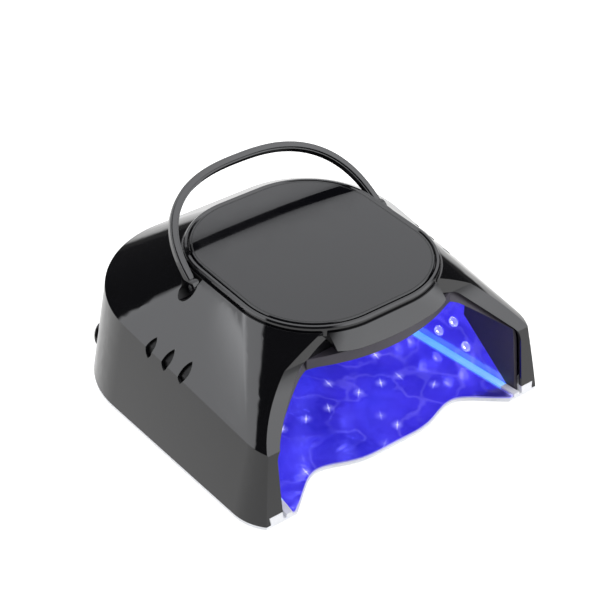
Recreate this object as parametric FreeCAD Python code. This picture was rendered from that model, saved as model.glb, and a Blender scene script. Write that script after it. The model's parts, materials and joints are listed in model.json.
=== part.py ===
"""UV LED nail lamp, cordless, with a carry handle: one STEP file for each piece.

Millimetres, +X to the right, +Y to the back, +Z up. The pieces are drawn with y = 0 at the
faces of the two arms, and are moved to the frame as they are written: its origin is the middle
of the footprint, on the surface that the lamp stands on.
"""
import FreeCAD
import Part
import math
import os

V = FreeCAD.Vector
axis_x = V(1, 0, 0)
axis_y = V(0, 1, 0)
axis_z = V(0, 0, 1)

# ---------------------------------------------------------------- driving dimensions
# outer form, seen from above
arm_width = 232.6             # across the side walls, produced to the front line of the plan
rear_width = 250.0            # across the side walls, produced to the rear line of the plan
front_overhang = 10.6         # front line of the plan, forward of the arm faces that cut it
body_depth = 225.0            # arm faces to rear wall
front_corner_radius = 33.0
rear_corner_radius = 72.0
# outer form, seen from the side
foot_height = 1.0             # feet below the base plate
base_thickness = 2.0
crease_front_height = 50.9
crease_rise = 20.7            # from the arm faces to the rear wall
side_draft = 11.1             # side walls lean in by this much up to the crease
rear_draft = 4.4
rim_height = 99.3             # rim round the panel
wall = 2.4
# top panel
panel_width = 138.4
panel_depth = 154.4
panel_back = 100.0            # middle of the panel, from the arm faces
panel_corner_radius = 53.5
panel_top = 103.0
ring_width = 3.4              # bead round the panel
panel_gap = 0.35              # round the ring, and between the ring and the panel
rim_width = 1.0
seat_depth = 3.2              # deck below the rim
panel_thickness = 3.0
panel_ledge = 2.2
panel_chamfer = 0.4
ring_drop = 0.3               # top of the bead below the panel
ring_chamfer = 0.95
touch_board_width = 92.0
touch_board_depth = 60.0
touch_board_back = 102.0      # its rear edge
# arch opening
opening_width = 192.6
opening_shoulder = 49.0
opening_top_width = 118.0
opening_top = 84.5
opening_crown = 3.2           # higher in the middle than at the shoulders
crown_width = 16.0
crown_radius = 6.0
opening_corner_radius = 16.0
opening_reach = 60.0          # how far back the arch is cut into the shell
slant_share = 0.6             # share of an offset that widens the top of a slanted side
face_lean = 6.2               # the arm faces lean back by this much up to the crease
band_mid_back = 19.5
band_mid_height = 65.0
band_top_back = 30.5
band_top_height = 84.0
hood_width = 84.0
hood_edge = 88.2              # lower edge of the hood in the middle
hood_rise = 3.2               # and how much higher it is at the ends
# bezel inside the opening
bezel_setback = 4.0
lip_back = 17.2               # lip under the hood, from the arm faces
lip_radius = 122.0            # its plan curve
lip_width = 112.0
lip_foot = 70.0
# hand cavity
cavity_front_width = 189.0
cavity_waist_width = 168.4
cavity_waist_back = 89.0      # where the side walls reach the waist
cavity_depth = 168.0
cavity_waist_radius = 30.0
cavity_rear_taper = 4.0       # each side, from the waist to the rear wall
cavity_corner_radius = 42.0
cavity_shoulder = 45.0
cavity_top = 78.0
cavity_top_width = 114.0
cavity_roof_radius = 28.0
cavity_bulge = 6.0            # side walls at the shoulder, beyond the front width
cavity_shoulder_radius = 12.0
cavity_front = -40.0          # where the space for the hand starts, in front of the arms
cavity_rear_slope = 26.0      # chamfer between the rear wall and the roof
liner_wall = 1.5
liner_foot_back = 9.0
liner_brow_back = 51.0
liner_brow_height = 40.0
liner_flange = 6.0
liner_flange_thickness = 1.2
# base and mirror
block_height = 5.2
block_depth = 11.0
rail_width = 4.5
rail_height = 2.4
mirror_thickness = 1.0
nose_back = 12.0              # front edge of the base, in the middle
bay_back = 21.0               # deepest part of the two finger bays
bay_width = 114.0             # between the two bays
tip_width = 172.0             # where the edge reaches the arm faces
bay_entry = 0.58              # share of the bay's depth halfway from the tip to its deepest part
nose_share = 0.52             # share of the bay's distance where the nose starts to round
nose_round = 1.8
base_edge = 1.0               # white edge left in front of the mirror
cover_thickness = 2.6
rim_gap = 0.4                 # rails to the cavity wall, and the cover to the shell
fit_gap = 0.15
slack = 0.05                  # round parts that are pressed or glued in place
# feet, magnets and pads
foot_diameter = 12.0
foot_recess = 0.6
foot_places = [(100.0, 22.0), (88.0, 190.0)]
magnet_diameter = 8.0
magnet_thickness = 2.0
magnet_places = [(104.0, 75.0), (40.0, 212.0)]
pad_thickness = 0.8
pad_outset = 0.95
# handle
pivot_back = 122.0
pivot_height = 92.4
handle_width = 152.6
handle_reach = 70.4
handle_power = 2.55
handle_band = 5.2
handle_thickness = 5.8
handle_step = 1.1             # width of the step along both edges of the bail
handle_step_height = 0.88
handle_angle = 33.5           # above flat, where the bail leans on its stops
handle_swing = 70.0           # from its stops to the other end of its pockets
pivot_boss_radius = 5.2
pocket_gap = 0.6
pocket_side_gap = 0.9
pin_radius = 2.0
pin_reach = 8.5
pin_end_gap = 0.3
bush_wall = 1.2
bush_fit = 0.03
running_gap = 0.06
# side vents
vent_height = 12.6
vent_width = 6.4
vent_pitch = 16.4
vent_back = 103.4
vent_center = 62.0
vent_count = 3
grille_thickness = 1.2
grille_margin = 2.0
# lights
lens_radius = 4.4
lens_dome = 2.4
dome_rings = [(1.0, 0.0), (0.82, 0.62), (0.42, 1.0)]    # share of the radius at each share of the dome
lens_stem = 3.8
lens_flange = 0.8
lens_sides = 12
lens_pitch = 24.0
side_lens_count = 4           # in the lower row; one fewer in the upper
side_lens_back = 47.0
roof_lens_pitch = 38.0
roof_lens_back = 61.0
lower_row = 15.5
upper_row = 29.5
board_thickness = 1.6
board_margin = 3.0
roof_board_width = 92.0
sensor_radius = 2.5
sensor_proud = 1.0
sensor_rear = 0.8             # and how far it stands out behind the liner
emitter_size = 3.5
emitter_height = 0.8
# inside
post_radius = 3.0
post_height = 4.5
post_inset = 4.0
board_front = 56.0            # control board
board_width = 84.0
board_depth = 56.0
chips = [(-34.0, 62.0, 16.0, 16.0, 2.6), (6.0, 64.0, 28.0, 8.0, 3.2), (-30.0, 92.0, 22.0, 8.0, 3.0)]
coil_radius = 4.0
coil_height = 3.4
coil_place = (20.0, 92.0)
connector_width = 12.0
connector_depth = 6.0
connector_back = 96.0         # its rear edge
fan_size = 40.0
fan_thickness = 10.0
fan_back = 135.0
fan_wall = 1.2
fan_spider = 1.6              # thickness of the hub plate and its three arms
fan_hub_radius = 8.0
fan_arm_width = 3.0
fan_wheel_radius = 9.5
fan_blade_count = 7
fan_blade_tilt = 38.0
fan_blade_thickness = 1.0
fan_shaft_radius = 1.0
fan_shaft_length = 2.0
fan_tip_gap = 2.0
fan_gap_low = 0.4             # wheel above the spider
fan_gap_high = 0.6            # and below the deck
cell_diameter = 18.4
cell_length = 65.0
cell_gap = 0.6                # between the rows
cell_end_gap = 0.7
tray_front_gap = 3.0
tray_wall = 1.6
tray_floor = 1.4
tray_side_gap = 0.4
tray_end_gap = 1.0
tray_end_height = 15.0
tray_rib_height = 10.0
tray_rib_width = 0.8
button_radius = 7.0
button_height = 13.0
button_side = 95.0
button_proud = 3.6
button_dome = 2.2
pad_back = 8.0                # the round seats behind the button and the socket
pad_proud = 0.6
pad_rim = 1.8
socket_pad_radius = 7.6
button_travel = 1.2
button_flange = 1.4           # wider than the cap by this much
button_flange_thickness = 1.2
button_skirt = 0.4            # cap behind its seat, up to the flange
button_stem_radius = 2.2
button_stem_back = 4.7
switch_size = 6.0
switch_depth = 3.6
switch_board_size = 16.0
switch_rest_gap = 0.2
socket_side = 88.0
socket_height = 13.0
socket_radius = 4.0
socket_bore = 2.75
socket_pin_radius = 1.0
socket_bore_end = 1.5         # bore and pin run this far behind the seat
socket_body_width = 9.0
socket_body_depth = 12.0
socket_body_top = 5.5
screw_radius = 1.5
screw_head_radius = 2.8
screw_head_height = 1.4
screw_length = 8.0
screw_hole_depth = 12.0
screw_slack = 0.1
screw_column_radius = 4.2
screw_column_height = 20.0
screw_places = [(109.5, 40.0), (111.5, 112.0), (107.0, 181.5)]
board_screw_height = 1.2
# shapes that only cut
far = 400.0                   # well past the lamp
through = 6.0                 # out of a wall at each side

# ---------------------------------------------------------------- derived places
shell_bottom = foot_height + base_thickness
panel_front = panel_back - panel_depth / 2
rim_offset = panel_gap + rim_width
lean = face_lean / (crease_front_height - shell_bottom)
deck_top = rim_height - seat_depth
deck_bottom = deck_top - wall
panel_bottom = panel_top - panel_thickness
cover_top = shell_bottom + cover_thickness
board_top = deck_bottom - post_height
board_bottom = board_top - board_thickness
handle_inner = handle_width / 2 - handle_band
pin_start = handle_inner - pin_reach
bush_radius = pin_radius + running_gap + bush_wall
rail_outset = rim_gap + rail_width
cavity_slope = (cavity_front_width - cavity_waist_width) / 2 / cavity_waist_back


# ---------------------------------------------------------------- shape helpers
def box(x0, x1, y0, y1, z0, z1):
    return Part.makeBox(x1 - x0, y1 - y0, z1 - z0, V(x0, y0, z0))


def cylinder(radius, height, base, direction=axis_z):
    return Part.makeCylinder(radius, height, base, direction)


def above(level):
    return box(-far, far, -far, far, level, far)


def below(level):
    return box(-far, far, -far, far, -far, level)


def mirrored(shape):
    return shape.mirror(V(0, 0, 0), axis_x)


def both_sides(places):
    return [(s * x, y) for x, y in places for s in (1, -1)]


def fused(shapes):
    result = shapes[0]
    if len(shapes) > 1:
        result = result.multiFuse(shapes[1:])
    return result.removeSplitter()


def rounded_wire(corners):
    """Closed wire in the XY plane through (x, y, radius) corners, with tangent arcs."""
    points = [V(x, y, 0) for x, y, _ in corners]
    arcs = []
    count = len(corners)
    for i in range(count):
        corner = points[i]
        to_last = (points[i - 1] - corner).normalize()
        to_next = (points[(i + 1) % count] - corner).normalize()
        half = to_last.getAngle(to_next) / 2
        radius = corners[i][2]
        reach = radius / math.tan(half)
        middle = (to_last + to_next).normalize()
        center = corner + middle * (radius / math.sin(half))
        arcs.append((corner + to_last * reach, center - middle * radius, corner + to_next * reach))
    edges = []
    for i in range(count):
        start, mid, end = arcs[i]
        edges.append(Part.Arc(start, mid, end).toShape())
        following = arcs[(i + 1) % count][0]
        if end.distanceToPoint(following) > 1e-4:
            edges.append(Part.LineSegment(end, following).toShape())
    return Part.Wire(edges)


def symmetric(half_corners):
    """Corners of the right half, from the front to the back, completed on the left."""
    return half_corners + [(-x, y, r) for x, y, r in reversed(half_corners)]


def flat_prism(wire, z0, z1):
    face = Part.Face(wire)
    face.translate(V(0, 0, z0))
    return face.extrude(V(0, 0, z1 - z0))


def front_prism(corners, y0, y1):
    """Profile given as (x, z, radius), drawn in the XZ plane and run from y0 to y1."""
    face = Part.Face(rounded_wire(corners))
    face.rotate(V(0, 0, 0), axis_x, 90)
    face.translate(V(0, y0, 0))
    return face.extrude(V(0, y1 - y0, 0))


def side_prism(edges, half_width):
    """Closed run of edges in the YZ plane, extruded across the lamp."""
    face = Part.Face(Part.Wire(edges))
    face.translate(V(-half_width, 0, 0))
    return face.extrude(V(2 * half_width, 0, 0))


def polyline(points):
    return [Part.LineSegment(a, b).toShape() for a, b in zip(points, points[1:])]


# ---------------------------------------------------------------- outer form
def plan_wire(side_inset, rear_inset, offset=0.0):
    half_front = arm_width / 2 - side_inset - offset
    half_rear = rear_width / 2 - side_inset - offset
    front = -front_overhang + offset
    rear = body_depth - rear_inset - offset
    return rounded_wire(symmetric([
        (half_front, front, front_corner_radius - offset),
        (half_rear, rear, rear_corner_radius - offset)]))


def panel_wire(offset):
    half_width = panel_width / 2 + offset
    half_depth = panel_depth / 2 + offset
    radius = panel_corner_radius + offset
    return rounded_wire(symmetric([
        (half_width, panel_back - half_depth, radius),
        (half_width, panel_back + half_depth, radius)]))


def tilted(wire, share, low, high):
    """Lift a flat wire to the crease plane (share 0) or part of the way to the rim (share 1)."""
    slope = crease_rise / body_depth * (1 - share)
    level = low * (1 - share) + high * share
    matrix = FreeCAD.Matrix()
    matrix.A32 = slope
    matrix.A34 = level
    return wire.transformGeometry(matrix)


def body_solid(offset, roof_offset):
    """The whole outer form as one solid, drawn in by an offset."""
    bottom = plan_wire(0, 0, offset)
    bottom.translate(V(0, 0, shell_bottom))
    crease = tilted(plan_wire(side_draft, rear_draft, offset), 0, crease_front_height, 0)
    rim = panel_wire(rim_offset - roof_offset)
    top = rim_height - roof_offset
    rim.translate(V(0, 0, top))
    lower = Part.makeLoft([bottom, crease], True, True)
    upper = Part.makeLoft([crease, rim], True, True)
    return lower.fuse(upper)


def band_profile(setback):
    """Edges, from low to high, of the arm faces and of the rim band above them."""
    foot = V(0, setback - lean * 3 * shell_bottom, -2 * shell_bottom)
    crease = V(0, setback + face_lean, crease_front_height)
    middle = V(0, setback + band_mid_back, band_mid_height)
    top = V(0, setback + band_top_back, band_top_height)
    high = V(0, setback + band_top_back, far)
    return [Part.LineSegment(foot, crease).toShape(), Part.Arc(crease, middle, top).toShape(),
            Part.LineSegment(top, high).toShape()], foot, high


def in_front_of_band(setback):
    edges, foot, high = band_profile(setback)
    edges += polyline([high, V(0, -far, high.z), V(0, -far, foot.z), foot])
    return side_prism(edges, far)


def opening_corners(grow=0.0):
    half = opening_width / 2 + grow
    top = opening_top_width / 2 + grow * slant_share
    return symmetric([
        (half, -through, 0.5),
        (half, opening_shoulder, opening_corner_radius),
        (top, opening_top + grow, opening_corner_radius),
        (crown_width / 2, opening_top + opening_crown + grow, crown_radius)])


def hood_block():
    """Where the tapered front is kept as a hood, over a lower edge that bows down in the middle."""
    half = hood_width / 2
    left = V(-half, -far, hood_edge + hood_rise)
    right = V(half, -far, hood_edge + hood_rise)
    edges = [Part.Arc(left, V(0, -far, hood_edge), right).toShape()]
    edges += polyline([right, V(half, -far, far), V(-half, -far, far), left])
    return Part.Face(Part.Wire(edges)).extrude(V(0, 2 * far, 0))


def in_front_of_lip():
    """Room kept clear in front of the bezel where it forms the lip under the hood."""
    drum = cylinder(lip_radius, far, V(0, lip_back + lip_radius, 0))
    room = box(-lip_width / 2, lip_width / 2, -far, lip_back + lip_radius / 2, lip_foot, far)
    return room.cut(drum)


# ---------------------------------------------------------------- hand cavity
def cavity_solid(offset):
    """The space for the hand, grown by an offset."""
    half_front = cavity_front_width / 2 - cavity_slope * cavity_front + offset
    half_waist = cavity_waist_width / 2 + offset
    half_rear = half_waist - cavity_rear_taper
    rear = cavity_depth + offset
    top = cavity_top + offset
    plan = rounded_wire(symmetric([
        (half_front, cavity_front, 0.5),
        (half_waist, cavity_waist_back, cavity_waist_radius),
        (half_rear, rear, cavity_corner_radius + offset)]))
    space = flat_prism(plan, -through, top)
    shoulder = cavity_shoulder + offset * (1 - slant_share)
    section = front_prism(symmetric([
        (cavity_front_width, -through, 1),
        (cavity_front_width, 0, 1),
        (cavity_front_width / 2 + cavity_bulge + offset, shoulder, cavity_shoulder_radius),
        (cavity_top_width / 2 + offset * slant_share, top, cavity_roof_radius)]), cavity_front - 1, far)
    slope_start = V(0, rear - cavity_rear_slope, top + 1)
    wedge = side_prism(polyline([
        slope_start, V(0, rear + 1, top - cavity_rear_slope), V(0, far, top - cavity_rear_slope),
        V(0, far, far), V(0, rear - cavity_rear_slope, far), slope_start]), rear_width)
    return space.common(section).cut(wedge)


def behind_brow(shift=0.0):
    """Everything behind the slanted front edge of the reflector."""
    foot = V(0, liner_foot_back + shift, -through)
    low = V(0, liner_foot_back + shift, shell_bottom)
    brow = V(0, liner_brow_back + shift, liner_brow_height)
    high = V(0, liner_brow_back + shift, far)
    return side_prism(polyline([foot, low, brow, high, V(0, far, far), V(0, far, -through), foot]), far)


# ---------------------------------------------------------------- lamp head: shell, panel, handle
def leaf_cutter(back):
    """Pointed oval seen from the side, run right through the lamp."""
    low = V(0, back, vent_center - vent_height / 2)
    high = V(0, back, vent_center + vent_height / 2)
    edges = [Part.Arc(low, V(0, back + vent_width / 2, vent_center), high).toShape(),
             Part.Arc(high, V(0, back - vent_width / 2, vent_center), low).toShape()]
    return side_prism(edges, rear_width)


def vent_places():
    return [vent_back + (i - (vent_count - 1) / 2) * vent_pitch for i in range(vent_count)]


def pivot_pocket():
    """Room for one leg of the bail between its stops, on the right side."""
    clearance = handle_thickness / 2 + pocket_gap
    start = handle_inner - pocket_side_gap
    low = math.radians(handle_angle)
    high = math.radians(handle_angle + handle_swing)
    pivot = V(0, pivot_back, pivot_height)
    low_edge = pivot + V(0, math.sin(low), -math.cos(low)) * clearance
    high_edge = pivot + V(0, -math.sin(high), math.cos(high)) * clearance
    reach = handle_thickness * 5
    corners = [low_edge, low_edge + V(0, math.cos(low), math.sin(low)) * reach,
               high_edge + V(0, math.cos(high), math.sin(high)) * reach, high_edge]
    face = Part.Face(Part.makePolygon(corners + [low_edge]))
    face.translate(V(start, 0, 0))
    sweep = face.extrude(V(rear_width / 2, 0, 0))
    round_end = cylinder(pivot_boss_radius + pocket_gap, rear_width / 2, V(start, pivot_back, pivot_height), axis_x)
    return sweep.fuse(round_end)


def pivot_boss():
    """Solid block behind the pocket that holds one bush, on the right side."""
    radius = pivot_boss_radius + pocket_gap + wall
    inner = pin_start - pocket_side_gap - wall
    return cylinder(radius, rear_width / 2, V(inner, pivot_back, pivot_height), axis_x)


def arm_tip_room(gap):
    """Room in the end of the right arm for the block of the base plate."""
    outline = flat_prism(plan_wire(0, 0, wall - gap), 0, shell_bottom + block_height + gap)
    return outline.common(box(opening_width / 2 - gap, rear_width, -front_overhang, block_depth + gap,
                              0, shell_bottom + block_height + gap))


def on_rear_corner(shape, side, height):
    """Seats a shape built about the Y axis square to the round rear corner at this X."""
    share = (height - shell_bottom) / (crease_front_height + crease_rise - shell_bottom)
    center_back = body_depth - rear_draft * share - rear_corner_radius
    flare = (rear_width - arm_width) / 2 / (body_depth + front_overhang)
    wall_side = rear_width / 2 - side_draft * share - flare * (body_depth - center_back)
    center_side = wall_side - rear_corner_radius * math.sqrt(1 + flare ** 2)
    sine = (abs(side) - center_side) / rear_corner_radius
    back = center_back + rear_corner_radius * math.sqrt(1 - sine ** 2)
    shape.rotate(V(0, 0, 0), axis_z, -math.copysign(math.degrees(math.asin(sine)), side))
    shape.translate(V(side, back, height))
    return shape


def rear_pad(side, height, radius, bore):
    pad = cylinder(radius, pad_back + pad_proud, V(0, -pad_back, 0), axis_y)
    hole = cylinder(bore, pad_back + 2 * through, V(0, -pad_back - through, 0), axis_y)
    return on_rear_corner(pad, side, height), on_rear_corner(hole, side, height)


def make_outer_housing():
    front = in_front_of_band(0).cut(hood_block())
    outer = body_solid(0, 0).cut(front)
    hollow = body_solid(wall, wall).cut(in_front_of_band(wall).cut(hood_block()))
    shell = outer.cut(hollow.cut(above(deck_bottom))).cut(below(shell_bottom))
    additions = []
    for boss in (pivot_boss(), mirrored(pivot_boss())):
        additions.append(boss.common(outer))
    for x, y in screw_places:
        column = cylinder(screw_column_radius, screw_column_height, V(x, y, cover_top))
        additions.append(column.common(outer))
        additions.append(mirrored(column).common(outer))
    button_pad, button_hole = rear_pad(-button_side, button_height, button_radius + pad_rim,
                                       button_radius + fit_gap)
    socket_pad, socket_hole = rear_pad(socket_side, socket_height, socket_pad_radius, socket_radius + fit_gap)
    shell = shell.multiFuse(additions + [button_pad, socket_pad])
    cuts = [front_prism(opening_corners(), -opening_reach, opening_reach), button_hole, socket_hole,
            flat_prism(panel_wire(panel_gap), deck_top, far)]
    cuts += [leaf_cutter(back) for back in vent_places()]
    for flip in (lambda s: s, mirrored):
        cuts.append(flip(pivot_pocket()))
        cuts.append(flip(arm_tip_room(fit_gap)))
        seat = V(pin_start - pin_end_gap, pivot_back, pivot_height)
        cuts.append(flip(cylinder(bush_radius + bush_fit, pin_reach + 2 * through, seat, axis_x)))
        for x, y in screw_places:
            cuts.append(flip(cylinder(screw_radius, screw_hole_depth, V(x, y, 0))))
    return shell.cut(Part.makeCompound(cuts)).removeSplitter()


def make_panel_ring():
    top = panel_top - ring_drop
    outer = flat_prism(panel_wire(0), deck_top, top)
    inner = flat_prism(panel_wire(-ring_width), panel_bottom, panel_top)
    low = flat_prism(panel_wire(-ring_width - panel_ledge), deck_top - 1, panel_top)
    ring = outer.cut(inner).cut(low)
    return ring.makeChamfer(ring_chamfer, [e for e in ring.Edges if abs(e.BoundBox.ZMin - top) < 1e-3])


def make_top_panel():
    panel = flat_prism(panel_wire(-ring_width - panel_gap), panel_bottom, panel_top)
    edges = [e for e in panel.Edges if abs(e.BoundBox.ZMin - panel_top) < 1e-3]
    return panel.makeChamfer(panel_chamfer, edges)


def make_touch_board():
    half = touch_board_width / 2
    return box(-half, half, touch_board_back - touch_board_depth, touch_board_back,
               panel_bottom - board_thickness, panel_bottom)


def bail_curve(half_width, reach):
    """Superellipse arch from one pivot line to the other, in the XY plane."""
    points = []
    steps = 16
    for i in range(steps + 1):
        angle = math.pi * i / steps
        across = math.cos(angle)
        up = math.sin(angle)
        x = math.copysign(abs(across) ** (2 / handle_power), across) * half_width
        points.append(V(x, abs(up) ** (2 / handle_power) * reach, 0))
    curve = Part.BSplineCurve()
    curve.interpolate(points)
    return curve.toShape()


def bail_layer(inset, thickness):
    outer = bail_curve(handle_width / 2 - inset, handle_reach - inset)
    inner = bail_curve(handle_inner + inset, handle_reach - handle_band + inset)
    left = Part.LineSegment(V(-handle_width / 2 + inset, 0, 0), V(-handle_inner - inset, 0, 0)).toShape()
    right = Part.LineSegment(V(handle_inner + inset, 0, 0), V(handle_width / 2 - inset, 0, 0)).toShape()
    wire = Part.Wire(Part.sortEdges([outer, left, inner, right])[0])
    face = Part.Face(wire)
    face.translate(V(0, 0, -thickness / 2))
    return face.extrude(V(0, 0, thickness))


def seat_bail(shape):
    shape.rotate(V(0, 0, 0), axis_x, handle_angle)
    shape.translate(V(0, pivot_back, pivot_height))
    return shape


def make_carry_handle():
    ends = [cylinder(pivot_boss_radius, handle_band, V(x, 0, 0), axis_x) for x in (handle_inner, -handle_width / 2)]
    core = bail_layer(0, handle_thickness - 2 * handle_step_height)
    crest = bail_layer(handle_step, handle_thickness)
    bail = core.fuse(crest).multiFuse(ends)
    bore = cylinder(pin_radius, 2 * handle_width, V(-handle_width, 0, 0), axis_x)
    return seat_bail(bail.cut(bore).removeSplitter())


def make_handle_pin():
    return cylinder(pin_radius, pin_reach + handle_band, V(pin_start, pivot_back, pivot_height), axis_x)


def make_pivot_bush():
    tube = cylinder(bush_radius, pin_reach, V(pin_start - pin_end_gap, pivot_back, pivot_height), axis_x)
    bore = cylinder(pin_radius + running_gap, 2 * pin_reach, V(pin_start - 1, pivot_back, pivot_height), axis_x)
    return tube.cut(bore)


def make_vent_grille():
    """Strip behind the leaf-shaped slots of the right side, following the wall."""
    inset = wall + fit_gap
    strip = body_solid(inset, wall).cut(body_solid(inset + grille_thickness, wall + grille_margin))
    half = vent_pitch * (vent_count - 1) / 2 + vent_width
    reach = vent_height / 2 + grille_margin
    room = box(0, far, vent_back - half, vent_back + half, vent_center - reach, vent_center + reach)
    return strip.common(room)


# ---------------------------------------------------------------- lamp head: bezel, liner, lights
def make_arch_bezel():
    frame = front_prism(opening_corners(-fit_gap), cavity_front / 2, opening_reach)
    frame = frame.cut(cavity_solid(0)).cut(behind_brow(-fit_gap))
    lip_room = box(-lip_width / 2, lip_width / 2, -far, far, lip_foot, far)
    proud = in_front_of_band(bezel_setback).cut(lip_room)
    frame = frame.cut(proud).cut(in_front_of_lip()).cut(below(shell_bottom + slack))
    for flip in (lambda s: s, mirrored):
        frame = frame.cut(flip(arm_tip_room(fit_gap)))
    return frame.removeSplitter()


def wall_point(back, height, side):
    """Place and inward direction on the side wall of the cavity; side is 1 or -1."""
    if back <= cavity_waist_back:
        slope = cavity_slope
        x = cavity_front_width / 2 - slope * back
    else:
        slope = cavity_rear_taper / (cavity_depth - cavity_waist_back)
        x = cavity_waist_width / 2 - slope * (back - cavity_waist_back)
    normal = V(-side, -slope, 0).normalize()
    return V(side * x, back, height), normal


def side_places():
    places = []
    for i in range(side_lens_count):
        places.append((side_lens_back + i * lens_pitch, lower_row))
        if i + 1 < side_lens_count:
            places.append((side_lens_back + (i + 0.5) * lens_pitch, upper_row))
    return places


def roof_places():
    rows = [(-1, 0, 1), (-0.5, 0.5), (-1, 0, 1), (-0.5, 0.5)]
    return [V(share * roof_lens_pitch, roof_lens_back + i * lens_pitch, cavity_top)
            for i, row in enumerate(rows) for share in row]


def ring_of(radius, height):
    """Regular polygon at a height above the origin."""
    step = 2 * math.pi / lens_sides
    points = [V(radius * math.cos(i * step), radius * math.sin(i * step), height) for i in range(lens_sides)]
    return Part.makePolygon(points + [points[0]])


def aimed(shape, place, inward):
    """Turns a shape built about +Z so that it points inward from its place."""
    shape.Placement = FreeCAD.Placement(place, FreeCAD.Rotation(axis_z, inward))
    return shape


def lens_at(place, inward):
    """Clear domed cap through the liner, with a pocket behind it for the emitter."""
    seat = -liner_wall - slack
    flange = Part.makeLoft([ring_of(lens_radius, seat - lens_flange), ring_of(lens_radius, seat)], True, True)
    rings = [ring_of(lens_stem * across, lens_dome * up) for across, up in dome_rings]
    dome = Part.makeLoft([ring_of(lens_stem, seat - lens_flange)] + rings, True, True)
    half = emitter_size / 2 + slack
    floor = seat - lens_flange
    pocket = box(-half, half, -half, half, floor - through, floor + emitter_height + pin_end_gap)
    return aimed(flange.fuse(dome).cut(pocket), place, inward)


def emitter_at(place, inward):
    half = emitter_size / 2
    base = -liner_wall - slack - lens_flange
    return aimed(box(-half, half, -half, half, base, base + emitter_height), place, inward)


def lens_holes(places):
    radius = lens_stem + slack
    hole = Part.makeLoft([ring_of(radius, -through), ring_of(radius, through)], True, True)
    return [aimed(hole.copy(), p, n) for p, n in places]


def all_places():
    sides = [wall_point(b, h, s) for s in (1, -1) for b, h in side_places()]
    return sides + [(p, -axis_z) for p in roof_places()]


def sensor_place():
    return V(0, roof_lens_back + lens_pitch / 2, cavity_top)


def make_reflector_liner():
    skin = cavity_solid(liner_wall).cut(cavity_solid(0))
    flange = cavity_solid(liner_wall + liner_flange).cut(cavity_solid(0))
    flange = flange.cut(below(cover_top)).cut(above(cover_top + liner_flange_thickness))
    liner = skin.fuse(flange).common(behind_brow()).cut(below(shell_bottom + slack))
    sensor = cylinder(sensor_radius + slack, 2 * through, sensor_place() - V(0, 0, through))
    return liner.cut(Part.makeCompound(lens_holes(all_places()) + [sensor])).removeSplitter()


def board_seat():
    """Distance of the lamp boards from the cavity: behind the caps' flanges."""
    return liner_wall + lens_flange + 2 * slack


def make_side_board(side):
    inside = cavity_solid(board_seat())
    outside = cavity_solid(board_seat() + board_thickness)
    reach = side_lens_back + (side_lens_count - 0.5) * lens_pitch
    low = lower_row - lens_radius - board_margin
    high = upper_row + lens_radius + board_margin
    room = box(0, far, side_lens_back - 3 * board_margin, reach - board_margin, low, high)
    board = outside.cut(inside).common(room).common(behind_brow(2))
    return board if side > 0 else mirrored(board)


def make_roof_board():
    base = cavity_top + board_seat()
    half = roof_board_width / 2
    reach = lens_radius + board_margin
    return box(-half, half, roof_lens_back - reach, roof_lens_back + 3 * lens_pitch + reach,
               base, base + board_thickness)


def make_hand_sensor():
    length = sensor_proud + liner_wall + sensor_rear
    return cylinder(sensor_radius, length, sensor_place() - V(0, 0, sensor_proud))


# ---------------------------------------------------------------- lamp head: what it holds inside
def make_control_board():
    half = board_width / 2
    board = box(-half, half, board_front, board_front + board_depth, board_bottom, board_top)
    parts = [box(x, x + width, y, y + depth, board_bottom - height, board_bottom)
             for x, y, width, depth, height in chips]
    coil = cylinder(coil_radius, coil_height, V(coil_place[0], coil_place[1], board_bottom - coil_height))
    return fused([board, coil] + parts)


def board_corners():
    x = board_width / 2 - post_inset
    return [(s * x, y) for s in (-1, 1) for y in (board_front + post_inset, board_front + board_depth - post_inset)]


def make_board_posts():
    return Part.makeCompound([cylinder(post_radius, post_height, V(x, y, board_top)) for x, y in board_corners()])


def make_touch_connector():
    half = connector_width / 2
    return box(-half, half, connector_back - connector_depth, connector_back,
               deck_top, panel_bottom - board_thickness)


def make_fan_frame():
    half = fan_size / 2
    low = deck_bottom - fan_thickness
    frame = box(-half, half, fan_back - half, fan_back + half, low, deck_bottom)
    frame = frame.cut(cylinder(half - fan_wall, 2 * fan_thickness, V(0, fan_back, low - 1)))
    hub = cylinder(fan_hub_radius, fan_spider, V(0, fan_back, low))
    arms = []
    for i in range(3):
        arm = box(fan_hub_radius - 2, half - fan_wall / 2, -fan_arm_width / 2, fan_arm_width / 2,
                  low, low + fan_spider)
        arm.rotate(V(0, 0, 0), axis_z, 120 * i + 30)
        arm.translate(V(0, fan_back, 0))
        arms.append(arm)
    bearing = cylinder(fan_shaft_radius + running_gap, fan_thickness, V(0, fan_back, low - 1))
    return fused([frame, hub] + arms).cut(bearing)


def make_fan_rotor():
    base = deck_bottom - fan_thickness + fan_spider + fan_gap_low
    height = deck_bottom - fan_gap_high - base
    reach = fan_size / 2 - fan_tip_gap
    blades = []
    for i in range(fan_blade_count):
        half = fan_blade_thickness / 2
        blade = box(fan_hub_radius, reach, -half, half, 0, height * 1.25)
        blade.rotate(V(0, 0, 0), axis_x, fan_blade_tilt)
        blade.rotate(V(0, 0, 0), axis_z, 360 / fan_blade_count * i)
        blades.append(blade)
    room = cylinder(reach, height, V(0, 0, 0))
    wheel = fused([cylinder(fan_wheel_radius, height, V(0, 0, 0))] + [b.common(room) for b in blades])
    wheel = wheel.fuse(cylinder(fan_shaft_radius, fan_shaft_length, V(0, 0, -fan_shaft_length)))
    wheel.translate(V(0, fan_back, base))
    return wheel


def battery_rows():
    front = cavity_depth + liner_wall + liner_flange + tray_front_gap
    return [front + cell_diameter / 2, front + cell_diameter * 1.5 + cell_gap]


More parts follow.
